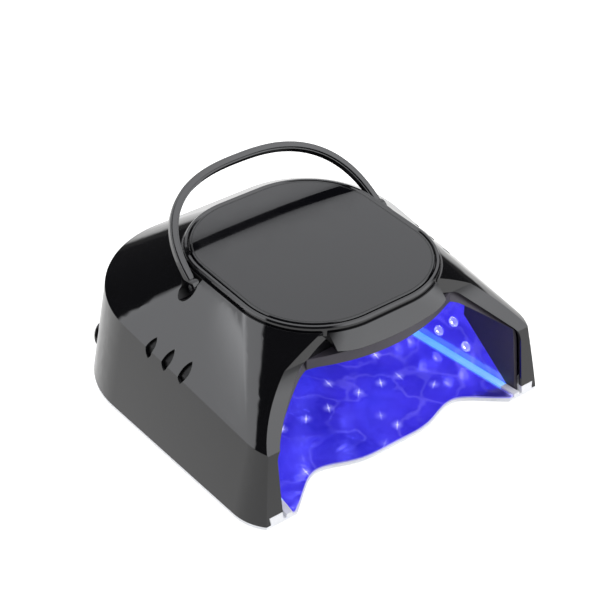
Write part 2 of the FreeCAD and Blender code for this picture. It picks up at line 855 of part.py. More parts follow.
def make_battery_tray():
    rows = battery_rows()
    y0 = rows[0] - cell_diameter / 2 - tray_side_gap
    y1 = rows[1] + cell_diameter / 2 + tray_side_gap
    half = cell_length + tray_end_gap
    outer = half + tray_wall
    rib = tray_rib_width / 2
    floor = box(-outer, outer, y0, y1, cover_top, cover_top + tray_floor)
    ends = [box(x, x + tray_wall, y0, y1, cover_top, cover_top + tray_end_height) for x in (-outer, half)]
    middle = box(-rib, rib, y0, y1, cover_top, cover_top + tray_rib_height)
    return fused([floor, middle] + ends)


def make_battery_cells():
    cells = []
    for y in battery_rows():
        for x in (-cell_length - cell_end_gap, cell_end_gap):
            base = V(x, y, cover_top + tray_floor + cell_diameter / 2)
            cells.append(cylinder(cell_diameter / 2, cell_length, base, axis_x))
    return Part.makeCompound(cells)


def make_power_button():
    """Domed cap, retaining flange and stem, built about +Y with the seat's face at y = -pad_back."""
    top = pad_proud + button_proud
    foot = -pad_back - button_skirt
    cap = cylinder(button_radius, top - foot, V(0, foot, 0), axis_y)
    ball = (button_radius ** 2 + button_dome ** 2) / (2 * button_dome)
    straight = cylinder(2 * button_radius, top - button_dome - foot, V(0, foot, 0), axis_y)
    cap = cap.common(Part.makeSphere(ball, V(0, top - ball, 0)).fuse(straight))
    flange_back = button_skirt + button_flange_thickness - 0.1
    flange = cylinder(button_radius + button_flange, button_flange_thickness,
                      V(0, -pad_back - flange_back, 0), axis_y)
    stem = cylinder(button_stem_radius, button_stem_back - flange_back, V(0, -pad_back - button_stem_back, 0), axis_y)
    return on_rear_corner(fused([cap, flange, stem]), -button_side, button_height)


def make_button_switch():
    half = switch_size / 2
    front = -pad_back - button_stem_back - button_travel - switch_rest_gap
    body = box(-half, half, front - switch_depth, front, -half, half)
    reach = switch_board_size / 2
    board = box(-reach, reach, front - switch_depth - board_thickness, front - switch_depth,
                cover_top - button_height, reach)
    return on_rear_corner(body.fuse(board), -button_side, button_height)


def make_dc_socket():
    half = socket_body_width / 2
    end = -pad_back - socket_bore_end
    body = box(-half, half, -pad_back - socket_body_depth, -pad_back, cover_top - socket_height, socket_body_top)
    barrel = cylinder(socket_radius, pad_back + pad_proud, V(0, -pad_back, 0), axis_y)
    bore = cylinder(socket_bore, 2 * pad_back, V(0, end, 0), axis_y)
    pin = cylinder(socket_pin_radius, pad_back + 1, V(0, end, 0), axis_y)
    return on_rear_corner(body.fuse(barrel).cut(bore).fuse(pin), socket_side, socket_height)


def arm_zone():
    return front_prism(opening_corners(0), -opening_reach, liner_brow_back + wall)


def pad_room(side, height, radius):
    """Clearance for a rear pad and what moves in it."""
    start = -pad_back - through
    return on_rear_corner(cylinder(radius + fit_gap, 24, V(0, start, 0), axis_y), side, height)


def make_bottom_cover():
    plate = flat_prism(plan_wire(0, 0, wall + fit_gap + rim_gap), shell_bottom, cover_top)
    plate = plate.cut(cavity_solid(liner_wall + fit_gap)).cut(arm_zone())
    plate = plate.cut(box(-far, far, -far, block_depth + 1, 0, far))
    cuts = [pad_room(-button_side, button_height, button_radius + pad_rim),
            pad_room(socket_side, socket_height, socket_pad_radius)]
    for x, y in both_sides(magnet_places):
        cuts.append(cylinder(magnet_diameter / 2 + slack, magnet_thickness, V(x, y, shell_bottom)))
    for x, y in both_sides(screw_places):
        cuts.append(cylinder(screw_radius + screw_slack, through, V(x, y, shell_bottom - 1)))
        cuts.append(cylinder(screw_head_radius + screw_slack, screw_head_height + screw_slack, V(x, y, shell_bottom)))
    return plate.cut(Part.makeCompound(cuts))


def make_cover_magnets():
    return Part.makeCompound([cylinder(magnet_diameter / 2, magnet_thickness, V(x, y, shell_bottom))
                              for x, y in both_sides(magnet_places)])


def make_cover_screws():
    screws = []
    for x, y in both_sides(screw_places):
        head = cylinder(screw_head_radius, screw_head_height, V(x, y, shell_bottom + screw_slack))
        shank = cylinder(screw_radius - slack, screw_length, V(x, y, shell_bottom + 1))
        screws.append(head.fuse(shank))
    return Part.makeCompound(screws)


def make_board_screws():
    low = board_bottom - board_screw_height
    return Part.makeCompound([cylinder(screw_head_radius, board_screw_height, V(x, y, low))
                              for x, y in board_corners()])


# ---------------------------------------------------------------- base
def wave_room(inset):
    """Everything in front of the base plate's waved front edge."""
    tip = tip_width / 2 + inset
    bay = bay_width / 2
    right = [V(tip, inset, 0), V((tip + bay) / 2, (bay_back + inset) * bay_entry, 0), V(bay, bay_back + inset, 0),
             V(bay * nose_share, nose_back + inset + nose_round, 0)]
    middle = V(0, nose_back + inset, 0)
    left = [V(-p.x, p.y, 0) for p in reversed(right)]
    curve = Part.BSplineCurve()
    curve.interpolate(right + [middle] + left)
    edges = [curve.toShape()] + polyline([
        V(-tip, inset, 0), V(-far, inset, 0), V(-far, -far, 0), V(far, -far, 0), V(far, inset, 0), V(tip, inset, 0)])
    return flat_prism(Part.Wire(Part.sortEdges(edges)[0]), -far, far)


def make_base_plate():
    plate = flat_prism(plan_wire(0, 0, 0), foot_height, shell_bottom).cut(wave_room(0))
    rails = cavity_solid(-rim_gap).cut(cavity_solid(-rail_outset))
    rails = rails.common(box(-far, far, 0, far, shell_bottom, shell_bottom + rail_height)).cut(wave_room(0))
    additions = [rails]
    for flip in (lambda s: s, mirrored):
        block = arm_tip_room(-fit_gap).common(above(shell_bottom - base_thickness / 4))
        additions.append(flip(block.cut(in_front_of_band(0))))
    plate = plate.multiFuse(additions)
    cuts = []
    for x, y in both_sides(magnet_places):
        cuts.append(cylinder(magnet_diameter / 2 + pad_outset + slack, pad_thickness,
                             V(x, y, shell_bottom - pad_thickness)))
    for x, y in both_sides(foot_places):
        cuts.append(cylinder(foot_diameter / 2 + slack, foot_recess, V(x, y, foot_height)))
    return plate.cut(Part.makeCompound(cuts)).removeSplitter()


def make_base_feet():
    return Part.makeCompound([cylinder(foot_diameter / 2, foot_height + foot_recess, V(x, y, 0))
                              for x, y in both_sides(foot_places)])


def make_base_pads():
    radius = magnet_diameter / 2 + pad_outset
    return Part.makeCompound([cylinder(radius, pad_thickness, V(x, y, shell_bottom - pad_thickness))
                              for x, y in both_sides(magnet_places)])


def make_mirror_sheet():
    outline = cavity_solid(-rail_outset - 2 * slack)
    sheet = outline.common(box(-far, far, 0, far, shell_bottom, shell_bottom + mirror_thickness))
    return sheet.cut(wave_room(base_edge))


# ---------------------------------------------------------------- the pieces
def pieces():
    sides = side_places()
    right = [wall_point(b, h, 1) for b, h in sides]
    left = [wall_point(b, h, -1) for b, h in sides]
    roof = [(p, -axis_z) for p in roof_places()]
    emitters = [emitter_at(p, n) for p, n in right + left + roof]
    return {
        "base_plate": make_base_plate(),
        "mirror_sheet": make_mirror_sheet(),
        "base_feet": make_base_feet(),
        "base_steel_pads": make_base_pads(),
        "outer_housing": make_outer_housing(),
        "arch_bezel": make_arch_bezel(),
        "panel_ring": make_panel_ring(),
        "top_panel": make_top_panel(),
        "touch_board": make_touch_board(),
        "touch_connector": make_touch_connector(),
        "carry_handle": make_carry_handle(),
        "handle_pin_right": make_handle_pin(),
        "handle_pin_left": mirrored(make_handle_pin()),
        "pivot_bush_right": make_pivot_bush(),
        "pivot_bush_left": mirrored(make_pivot_bush()),
        "vent_grille_right": make_vent_grille(),
        "vent_grille_left": mirrored(make_vent_grille()),
        "reflector_liner": make_reflector_liner(),
        "lenses_right": Part.makeCompound([lens_at(p, n) for p, n in right]),
        "lenses_left": Part.makeCompound([lens_at(p, n) for p, n in left]),
        "lenses_roof": Part.makeCompound([lens_at(p, n) for p, n in roof]),
        "led_emitters": Part.makeCompound(emitters),
        "led_board_right": make_side_board(1),
        "led_board_left": make_side_board(-1),
        "led_board_roof": make_roof_board(),
        "hand_sensor": make_hand_sensor(),
        "control_board": make_control_board(),
        "board_posts": make_board_posts(),
        "board_screws": make_board_screws(),
        "fan_frame": make_fan_frame(),
        "fan_rotor": make_fan_rotor(),
        "battery_tray": make_battery_tray(),
        "battery_cells": make_battery_cells(),
        "power_button": make_power_button(),
        "button_switch": make_button_switch(),
        "dc_socket": make_dc_socket(),
        "bottom_cover": make_bottom_cover(),
        "cover_magnets": make_cover_magnets(),
        "cover_screws": make_cover_screws(),
    }


def main():
    os.makedirs("parts", exist_ok=True)
    for name, shape in pieces().items():
        shape.translate(V(0, -body_depth / 2, 0))
        shape.exportStep("parts/" + name + ".step")
        print(name, len(shape.Solids), shape.isValid(), round(shape.Volume, 1))


main()
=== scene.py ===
import json
import bmesh
import bpy
from math import cos, radians
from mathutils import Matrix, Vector

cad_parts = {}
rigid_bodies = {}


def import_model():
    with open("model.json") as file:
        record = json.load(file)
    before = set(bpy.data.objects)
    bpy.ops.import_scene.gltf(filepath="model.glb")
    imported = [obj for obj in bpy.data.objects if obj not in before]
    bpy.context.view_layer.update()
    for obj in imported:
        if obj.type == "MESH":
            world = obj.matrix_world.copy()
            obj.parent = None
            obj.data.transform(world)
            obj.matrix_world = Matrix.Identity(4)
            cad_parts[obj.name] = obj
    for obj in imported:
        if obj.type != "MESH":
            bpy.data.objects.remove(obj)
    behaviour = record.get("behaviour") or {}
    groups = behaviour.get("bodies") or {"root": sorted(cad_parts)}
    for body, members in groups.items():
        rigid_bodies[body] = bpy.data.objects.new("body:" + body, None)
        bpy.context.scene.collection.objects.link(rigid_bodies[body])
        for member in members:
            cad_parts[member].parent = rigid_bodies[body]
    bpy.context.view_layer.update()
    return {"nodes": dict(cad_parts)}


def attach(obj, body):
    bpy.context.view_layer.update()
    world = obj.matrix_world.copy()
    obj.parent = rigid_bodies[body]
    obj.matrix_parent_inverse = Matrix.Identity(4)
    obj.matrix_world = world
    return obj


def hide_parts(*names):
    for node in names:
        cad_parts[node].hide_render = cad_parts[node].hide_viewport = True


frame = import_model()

nodes = frame["nodes"]
bodyOf = {name: obj.parent.name.split(":")[1] for name, obj in nodes.items()}
mm = 0.001


# sRGB hex to the linear colour that the shaders want
def toLinear(hexText):
    parts = [int(hexText[i:i + 2], 16) / 255 for i in (1, 3, 5)]
    return tuple(p / 12.92 if p <= 0.04045 else ((p + 0.055) / 1.055) ** 2.4 for p in parts) + (1.0,)


# an input given as a socket is linked, anything else is set on the node
def setInputs(tree, node, inputs):
    for name, value in inputs.items():
        if isinstance(value, bpy.types.NodeSocket):
            tree.links.new(value, node.inputs[name])
        else:
            node.inputs[name].default_value = value


def addNode(tree, kind, settings=None, inputs=None):
    node = tree.nodes.new(kind)
    for name, value in (settings or {}).items():
        setattr(node, name, value)
    setInputs(tree, node, inputs or {})
    return node


# an empty material, its tree, object coordinates, shader and output
def startMaterial(name):
    material = bpy.data.materials.new(name)
    material.use_nodes = True
    tree = material.node_tree
    tree.nodes.clear()
    place = addNode(tree, "ShaderNodeTexCoord").outputs["Object"]
    shader = addNode(tree, "ShaderNodeBsdfPrincipled")
    addNode(tree, "ShaderNodeOutputMaterial", None, {"Surface": shader.outputs["BSDF"]})
    return material, tree, place, shader


# a colour that drifts between two close tones
def driftColour(tree, place, scale, low, high, detail=3.0):
    noise = addNode(tree, "ShaderNodeTexNoise", None, {"Vector": place, "Scale": scale, "Detail": detail})
    mix = addNode(tree, "ShaderNodeMix", {"data_type": "RGBA"}, {"Factor": noise.outputs["Fac"]})
    mix.inputs["A"].default_value = toLinear(low)
    mix.inputs["B"].default_value = toLinear(high)
    return mix.outputs["Result"]


# a value that drifts between two bounds
def driftValue(tree, place, scale, low, high, detail=3.0):
    noise = addNode(tree, "ShaderNodeTexNoise", None, {"Vector": place, "Scale": scale, "Detail": detail})
    span = addNode(tree, "ShaderNodeMapRange", None, {
        "Value": noise.outputs["Fac"], "From Min": 0.3, "From Max": 0.7, "To Min": low, "To Max": high})
    return span.outputs["Result"]


# fine relief of the given height, on top of another normal where one is given
def grainBump(tree, place, scale, height, detail=2.0, normal=None):
    grain = addNode(tree, "ShaderNodeTexNoise", None, {"Vector": place, "Scale": scale, "Detail": detail})
    bump = addNode(tree, "ShaderNodeBump", None, {
        "Height": grain.outputs["Fac"], "Strength": 1.0, "Distance": height})
    if normal is not None:
        tree.links.new(normal, bump.inputs["Normal"])
    return bump.outputs["Normal"]


print("materials: black mouldings")
glossSettings = {
    "tone": "#08080a", "toneHigh": "#0d0d10",
    "roughLow": 0.045, "roughHigh": 0.085,
    "peelPitch": 9 * mm, "peelHeight": 0.010 * mm,     # sink and orange peel of a polished moulding
    "edgeRadius": 0.22 * mm,     # the polished mould still leaves its edges a hair round
}
bailSettings = dict(glossSettings, edgeRadius=0.4 * mm, roughLow=0.04, roughHigh=0.07)
beadSettings = dict(glossSettings, edgeRadius=0.3 * mm, roughLow=0.05, roughHigh=0.09)


# injection-moulded ABS out of a polished mould: deep black, mirror-like with a very slight waviness
def makeGlossAbs(name, settings):
    material, tree, place, shader = startMaterial(name)
    soft = addNode(tree, "ShaderNodeBevel", {"samples": 6}, {"Radius": settings["edgeRadius"]})
    peel = grainBump(tree, place, 1 / settings["peelPitch"], settings["peelHeight"], 1.0,
                     soft.outputs["Normal"])
    setInputs(tree, shader, {
        "Base Color": driftColour(tree, place, 40, settings["tone"], settings["toneHigh"]),
        "Roughness": driftValue(tree, place, 70, settings["roughLow"], settings["roughHigh"], 5.0),
        "IOR": 1.54,
        "Coat Weight": 0.35, "Coat Roughness": 0.03, "Coat IOR": 1.5,
        "Normal": peel})
    return material


glossAbs = makeGlossAbs("polished moulded ABS black", glossSettings)
# rounder edges, which draw light lines along the bail and round the panel
handleAbs = makeGlossAbs("polished moulded ABS black, bail", bailSettings)
ringAbs = makeGlossAbs("polished moulded ABS black, bead", beadSettings)


# lowest and highest point of a CAD node along one axis
def extentOf(nodeName, axis):
    values = [vertex.co[axis] for vertex in nodes[nodeName].data.vertices]
    return min(values), max(values)


panelLeft, panelRight = extentOf("top_panel", 0)
panelFront, panelBack = extentOf("top_panel", 1)
panelSettings = {
    "tone": "#0b0b0e", "toneHigh": "#0e0e12", "lineTone": "#020203",
    "halfWidth": (panelRight - panelLeft) / 2, "halfDepth": (panelBack - panelFront) / 2,
    "center": (panelFront + panelBack) / 2, "corner": 49.75 * mm,
    "lineInset": 1.55 * mm, "lineWidth": 0.35 * mm, "lineFade": 1.6, "lineRough": 0.45,
    "smearLow": 0.035, "smearHigh": 0.075, "sagPitch": 30 * mm, "sagHeight": 0.006 * mm,
}


# back-printed acrylic sheet: flat, flawless gloss, with a printed line just inside its edge
def makePanelAcrylic(name, settings):
    material, tree, place, shader = startMaterial(name)
    split = addNode(tree, "ShaderNodeSeparateXYZ", None, {"Vector": place})
    across = addNode(tree, "ShaderNodeMath", {"operation": "ABSOLUTE"}, {0: split.outputs["X"]})
    along = addNode(tree, "ShaderNodeMath", {"operation": "SUBTRACT"}, {
        0: split.outputs["Y"], 1: settings["center"]})
    along = addNode(tree, "ShaderNodeMath", {"operation": "ABSOLUTE"}, {0: along.outputs[0]})
    overX = addNode(tree, "ShaderNodeMath", {"operation": "SUBTRACT"},
                    {0: across.outputs[0], 1: settings["halfWidth"] - settings["corner"]})
    overY = addNode(tree, "ShaderNodeMath", {"operation": "SUBTRACT"},
                    {0: along.outputs[0], 1: settings["halfDepth"] - settings["corner"]})
    outX = addNode(tree, "ShaderNodeMath", {"operation": "MAXIMUM"}, {0: overX.outputs[0], 1: 0.0})
    outY = addNode(tree, "ShaderNodeMath", {"operation": "MAXIMUM"}, {0: overY.outputs[0], 1: 0.0})
    corner = addNode(tree, "ShaderNodeCombineXYZ", None, {"X": outX.outputs[0], "Y": outY.outputs[0]})
    reach = addNode(tree, "ShaderNodeVectorMath", {"operation": "LENGTH"}, {0: corner.outputs[0]})
    inside = addNode(tree, "ShaderNodeMath", {"operation": "MAXIMUM"}, {
        0: overX.outputs[0], 1: overY.outputs[0]})
    inside = addNode(tree, "ShaderNodeMath", {"operation": "MINIMUM"}, {0: inside.outputs[0], 1: 0.0})
    edge = addNode(tree, "ShaderNodeMath", {"operation": "ADD"}, {
        0: reach.outputs["Value"], 1: inside.outputs[0]})
    # distance from the printed line
    line = addNode(tree, "ShaderNodeMath", {"operation": "SUBTRACT"},
                   {0: edge.outputs[0], 1: settings["corner"] - settings["lineInset"]})
    line = addNode(tree, "ShaderNodeMath", {"operation": "ABSOLUTE"}, {0: line.outputs[0]})
    mask = addNode(tree, "ShaderNodeMapRange", None, {
        "Value": line.outputs[0], "From Min": settings["lineWidth"],
        "From Max": settings["lineWidth"] * settings["lineFade"],
        "To Min": 1.0, "To Max": 0.0})
    mix = addNode(tree, "ShaderNodeMix", {"data_type": "RGBA"}, {"Factor": mask.outputs["Result"]})
    tree.links.new(driftColour(tree, place, 25, settings["tone"], settings["toneHigh"]), mix.inputs["A"])
    mix.inputs["B"].default_value = toLinear(settings["lineTone"])
    smear = driftValue(tree, place, 45, settings["smearLow"], settings["smearHigh"], 6.0)
    rough = addNode(tree, "ShaderNodeMath", {"operation": "MULTIPLY_ADD"},
                    {0: mask.outputs["Result"], 1: settings["lineRough"], 2: smear})
    setInputs(tree, shader, {
        "Base Color": mix.outputs["Result"], "Roughness": rough.outputs[0], "IOR": 1.49,
        "Coat Weight": 0.25, "Coat Roughness": 0.02, "Coat IOR": 1.49,
        "Normal": grainBump(tree, place, 1 / settings["sagPitch"], settings["sagHeight"], 0.0)})
    return material


panelAcrylic = makePanelAcrylic("back-printed acrylic sheet black", panelSettings)

satinSettings = {"pebblePitch": 0.7 * mm, "pebbleHeight": 0.03 * mm, "edgeRadius": 0.4 * mm}


# plastic out of a spark-eroded mould: satin, with a fine pebble that is drawn coarser than the real 0.1 mm
def makeSatin(name, low, high, roughLow, roughHigh, settings=satinSettings):
    material, tree, place, shader = startMaterial(name)
    soft = addNode(tree, "ShaderNodeBevel", {"samples": 4}, {"Radius": settings["edgeRadius"]})
    setInputs(tree, shader, {
        "Base Color": driftColour(tree, place, 60, low, high),
        "Roughness": driftValue(tree, place, 90, roughLow, roughHigh, 4.0),
        "IOR": 1.53,
        "Normal": grainBump(tree, place, 1 / settings["pebblePitch"], settings["pebbleHeight"], 2.0,
                            soft.outputs["Normal"])})
    return material


# lining of the opening: charcoal, dull enough that the violet light only tints it
bezelAbs = makeSatin("satin moulded ABS charcoal", "#3a3740", "#45414c", 0.42, 0.52)
# vent strips and the bail's pocket walls: a matt black that reads as depth
ventAbs = makeSatin("satin moulded ABS vent black", "#060607", "#0b0b0c", 0.45, 0.6)
# bottom cover: a shade lighter and duller than the gloss shell
coverAbs = makeSatin("satin moulded ABS cover black", "#0e0e10", "#151517", 0.42, 0.58)
# small white housings: clean and a little shiny
whiteAbs = makeSatin("satin moulded ABS white", "#eef0f4", "#f7f8fb", 0.28, 0.4,
                     dict(satinSettings, pebbleHeight=0.01 * mm))
# fan and inlet: dark grey with the cloudy sheen of glass fibre
fanPbt = makeSatin("glass-filled PBT fan black", "#111214", "#1b1c1f", 0.4, 0.55)

railSettings = {
    "low": "#eff1f5", "high": "#f8f9fc", "glow": "#38b4ff", "glowStrength": 0.75,
    "paintedEdgeGlow": "#eef0ff", "paintedEdgeStrength": 0.03,     # painted glow: the rest of the plate gets a faint emission, as if it only just carried light
    "glowLow": 0.8, "glowHigh": 1.15, "roughLow": 0.26, "roughHigh": 0.38,
    "pebblePitch": 0.7 * mm, "pebbleHeight": 0.01 * mm,
    "railFoot": 3.05 * mm, "railFront": -101.3 * mm,     # rails stand above the plate, behind the tip blocks
}


# the white base with painted glow: its raised rails get a pale blue emission standing in for the cavity's
# light piped through them
def makeBaseWhitePaintedGlow(name, settings):
    material, tree, place, shader = startMaterial(name)
    split = addNode(tree, "ShaderNodeSeparateXYZ", None, {"Vector": place})
    raised = addNode(tree, "ShaderNodeMath", {"operation": "GREATER_THAN"}, {
        0: split.outputs["Z"], 1: settings["railFoot"]})
    behind = addNode(tree, "ShaderNodeMath", {"operation": "GREATER_THAN"}, {
        0: split.outputs["Y"], 1: settings["railFront"]})
    lit = addNode(tree, "ShaderNodeMath", {"operation": "MULTIPLY"}, {
        0: raised.outputs[0], 1: behind.outputs[0]})
    # painted glow: emission strength on the rails, with a fainter floor of it on the rest of the plate
    glow = driftValue(tree, place, 60, settings["glowStrength"] * settings["glowLow"],
                      settings["glowStrength"] * settings["glowHigh"])
    level = addNode(tree, "ShaderNodeMath", {"operation": "MULTIPLY"}, {0: lit.outputs[0], 1: glow})
    level = addNode(tree, "ShaderNodeMath", {"operation": "MAXIMUM"}, {
        0: level.outputs[0], 1: settings["paintedEdgeStrength"]})
    tint = addNode(tree, "ShaderNodeMix", {"data_type": "RGBA"}, {"Factor": lit.outputs[0]})
    tint.inputs["A"].default_value = toLinear(settings["paintedEdgeGlow"])
    tint.inputs["B"].default_value = toLinear(settings["glow"])
    setInputs(tree, shader, {
        "Base Color": driftColour(tree, place, 60, settings["low"], settings["high"]),
        "Roughness": driftValue(tree, place, 90, settings["roughLow"], settings["roughHigh"], 4.0),
        "IOR": 1.53,
        "Emission Color": tint.outputs["Result"], "Emission Strength": level.outputs[0],
        "Normal": grainBump(tree, place, 1 / settings["pebblePitch"], settings["pebbleHeight"])})
    return material


# white base with painted glow on its rails and a faint one on the plate
baseWhitePaintedGlow = makeBaseWhitePaintedGlow("satin moulded ABS white, lit rails", railSettings)
# pivot bushes: waxy off-white
bushNylon = makeSatin("turned nylon natural", "#d9d5c8", "#e4e0d4", 0.35, 0.5)
# feet: dull grey that hardly shines, with a coarse skin
footRubber = makeSatin("moulded silicone rubber grey", "#3b3c40", "#4a4b50", 0.7, 0.85,
                       dict(satinSettings, pebblePitch=1.2 * mm, pebbleHeight=0.06 * mm))
# hand sensor: almost black with a wine tint, smooth as a lens
sensorDark = makeSatin("infrared window epoxy dark", "#0a0610", "#160c1c", 0.12, 0.2,
                       dict(satinSettings, pebbleHeight=0.002 * mm))
# cells: shrunk film, blue, with slow ripples
cellWrap = makeSatin("shrunk PVC sleeve blue", "#1f4f9c", "#2a62b8", 0.3, 0.45,
                     dict(satinSettings, pebblePitch=3 * mm))
# boards: lacquer that shows the copper below as a faint unevenness
greenBoard = makeSatin("solder mask on FR4 green", "#0e4a2c", "#15633c", 0.25, 0.4,
                       dict(satinSettings, pebblePitch=1.6 * mm))
whiteBoard = makeSatin("solder mask on FR4 white", "#dfe3ee", "#eceff8", 0.3, 0.45)


metalSettings = {"stretch": (1.0, 6.0, 6.0), "grainHeight": 0.008 * mm}


# plated or bare metal with a short turned grain, drawn coarser than the real 0.05 mm tool marks
def makeMetal(name, low, high, roughLow, roughHigh, grainPitch, settings=metalSettings):
    material, tree, place, shader = startMaterial(name)
    stretch = addNode(tree, "ShaderNodeMapping", None, {"Vector": place, "Scale": settings["stretch"]})
    setInputs(tree, shader, {
        "Base Color": driftColour(tree, place, 120, low, high),
        "Metallic": 1.0,
        "Roughness": driftValue(tree, stretch.outputs["Vector"], 300, roughLow, roughHigh, 4.0),
        "Normal": grainBump(tree, stretch.outputs["Vector"], 1 / grainPitch, settings["grainHeight"], 3.0)})
    return material


# pins, pads and screws: cool grey with a soft streaky shine
steel = makeMetal("zinc-plated steel turned", "#a9abae", "#bfc1c4", 0.22, 0.36, 1.5 * mm)
# magnets: brighter and warmer than the steel
nickel = makeMetal("nickel-plated magnet", "#b8b3a8", "#ccc7bb", 0.15, 0.28, 2 * mm)
# board posts: yellow and turned bright
brass = makeMetal("turned brass", "#b08d45", "#c9a65a", 0.2, 0.34, 1 * mm)

print("materials: lit interior")
glowSettings = {
    "deep": "#2c2298", "violet": "#5145d8", "pale": "#a79cff", "white": "#e6e6ff",
    "wavePitch": 22 * mm, "creasePitch": 7 * mm, "waveHeight": 0.55 * mm, "creaseHeight": 0.10 * mm,
    "swirlScale": 26.0, "swirlReach": 0.05,     # how far the pattern is dragged out of its grid, in metres
    "depthScale": 20.0, "cloudPitch": 34 * mm, "cloudLow": 0.62, "cloudHigh": 1.3,
    "veilPitch": 30 * mm, "veilWidth": 0.05, "veilShare": 0.42,
    "tintHigh": "#a9a4e0", "roughSpread": 1.7, "paintedGlintStrength": 0.75,
    "sparkPitch": 21 * mm, "sparkReach": 6.5 * mm, "sparkWaist": 0.95 * mm, "sparkCore": 1.5 * mm,
    "sparkHalo": 5.5 * mm, "haloShare": 0.3, "streakShare": 0.8, "crossShare": 0.4, "sparkTurn": 1.1,
}


# painted glints: hot spots on the film below the lamps, standing in for their reflections: a small core, a
# faint halo and two crossed streaks in each cell
def makePaintedGlints(tree, place, settings):
    cells = addNode(tree, "ShaderNodeTexVoronoi", {"voronoi_dimensions": "2D"}, {
        "Vector": place, "Scale": 1 / settings["sparkPitch"], "Randomness": 0.8})
    local = addNode(tree, "ShaderNodeVectorMath", {"operation": "SUBTRACT"}, {
        0: place, 1: cells.outputs["Position"]})
    turn = addNode(tree, "ShaderNodeSeparateColor", None, {0: cells.outputs["Color"]})
    angle = addNode(tree, "ShaderNodeMath", {"operation": "MULTIPLY"}, {
        0: turn.outputs[0], 1: settings["sparkTurn"]})
    turned = addNode(tree, "ShaderNodeVectorRotate", {"rotation_type": "Z_AXIS"}, {
        "Vector": local.outputs[0], "Angle": angle.outputs[0]})
    split = addNode(tree, "ShaderNodeSeparateXYZ", None, {"Vector": turned.outputs[0]})
    sides = [addNode(tree, "ShaderNodeMath", {"operation": "ABSOLUTE"}, {
        0: split.outputs[axis]}) for axis in "XY"]
    total = None
    for first, second in ((0, 1), (1, 0)):
        waist = addNode(tree, "ShaderNodeMapRange", {"interpolation_type": "SMOOTHERSTEP"}, {
            "Value": sides[first].outputs[0], "From Min": 0.0, "From Max": settings["sparkWaist"],
            "To Min": 1.0, "To Max": 0.0})
        reach = addNode(tree, "ShaderNodeMapRange", {"interpolation_type": "SMOOTHERSTEP"}, {
            "Value": sides[second].outputs[0], "From Min": 0.0,
            "From Max": settings["sparkReach"] * (settings["crossShare"] if first else 1.0),
            "To Min": settings["streakShare"], "To Max": 0.0})
        arm = addNode(tree, "ShaderNodeMath", {"operation": "MULTIPLY"}, {
            0: waist.outputs["Result"], 1: reach.outputs["Result"]})
        if total is None:
            total = arm
        else:
            total = addNode(tree, "ShaderNodeMath", {"operation": "MAXIMUM"}, {
                0: total.outputs[0], 1: arm.outputs[0]})
    flat = addNode(tree, "ShaderNodeCombineXYZ", None, {"X": split.outputs["X"], "Y": split.outputs["Y"]})
    span = addNode(tree, "ShaderNodeVectorMath", {"operation": "LENGTH"}, {0: flat.outputs[0]})
    core = addNode(tree, "ShaderNodeMapRange", {"interpolation_type": "SMOOTHSTEP"}, {
        "Value": span.outputs["Value"], "From Min": 0.0, "From Max": settings["sparkCore"],
        "To Min": 1.0, "To Max": 0.0})
    total = addNode(tree, "ShaderNodeMath", {"operation": "MAXIMUM"}, {
        0: total.outputs[0], 1: core.outputs["Result"]})
    halo = addNode(tree, "ShaderNodeMapRange", {"interpolation_type": "SMOOTHERSTEP"}, {
        "Value": span.outputs["Value"], "From Min": 0.0, "From Max": settings["sparkHalo"],
        "To Min": settings["haloShare"], "To Max": 0.0})
    total = addNode(tree, "ShaderNodeMath", {"operation": "MAXIMUM"}, {
        0: total.outputs[0], 1: halo.outputs["Result"]})
    # cells differ in brightness, and some stay dark
    gain = addNode(tree, "ShaderNodeMapRange", None, {
        "Value": turn.outputs[1], "From Min": 0.25, "From Max": 0.75, "To Min": 0.0, "To Max": 1.0})
    return addNode(tree, "ShaderNodeMath", {"operation": "MULTIPLY"}, {
        0: total.outputs[0], 1: gain.outputs["Result"]})


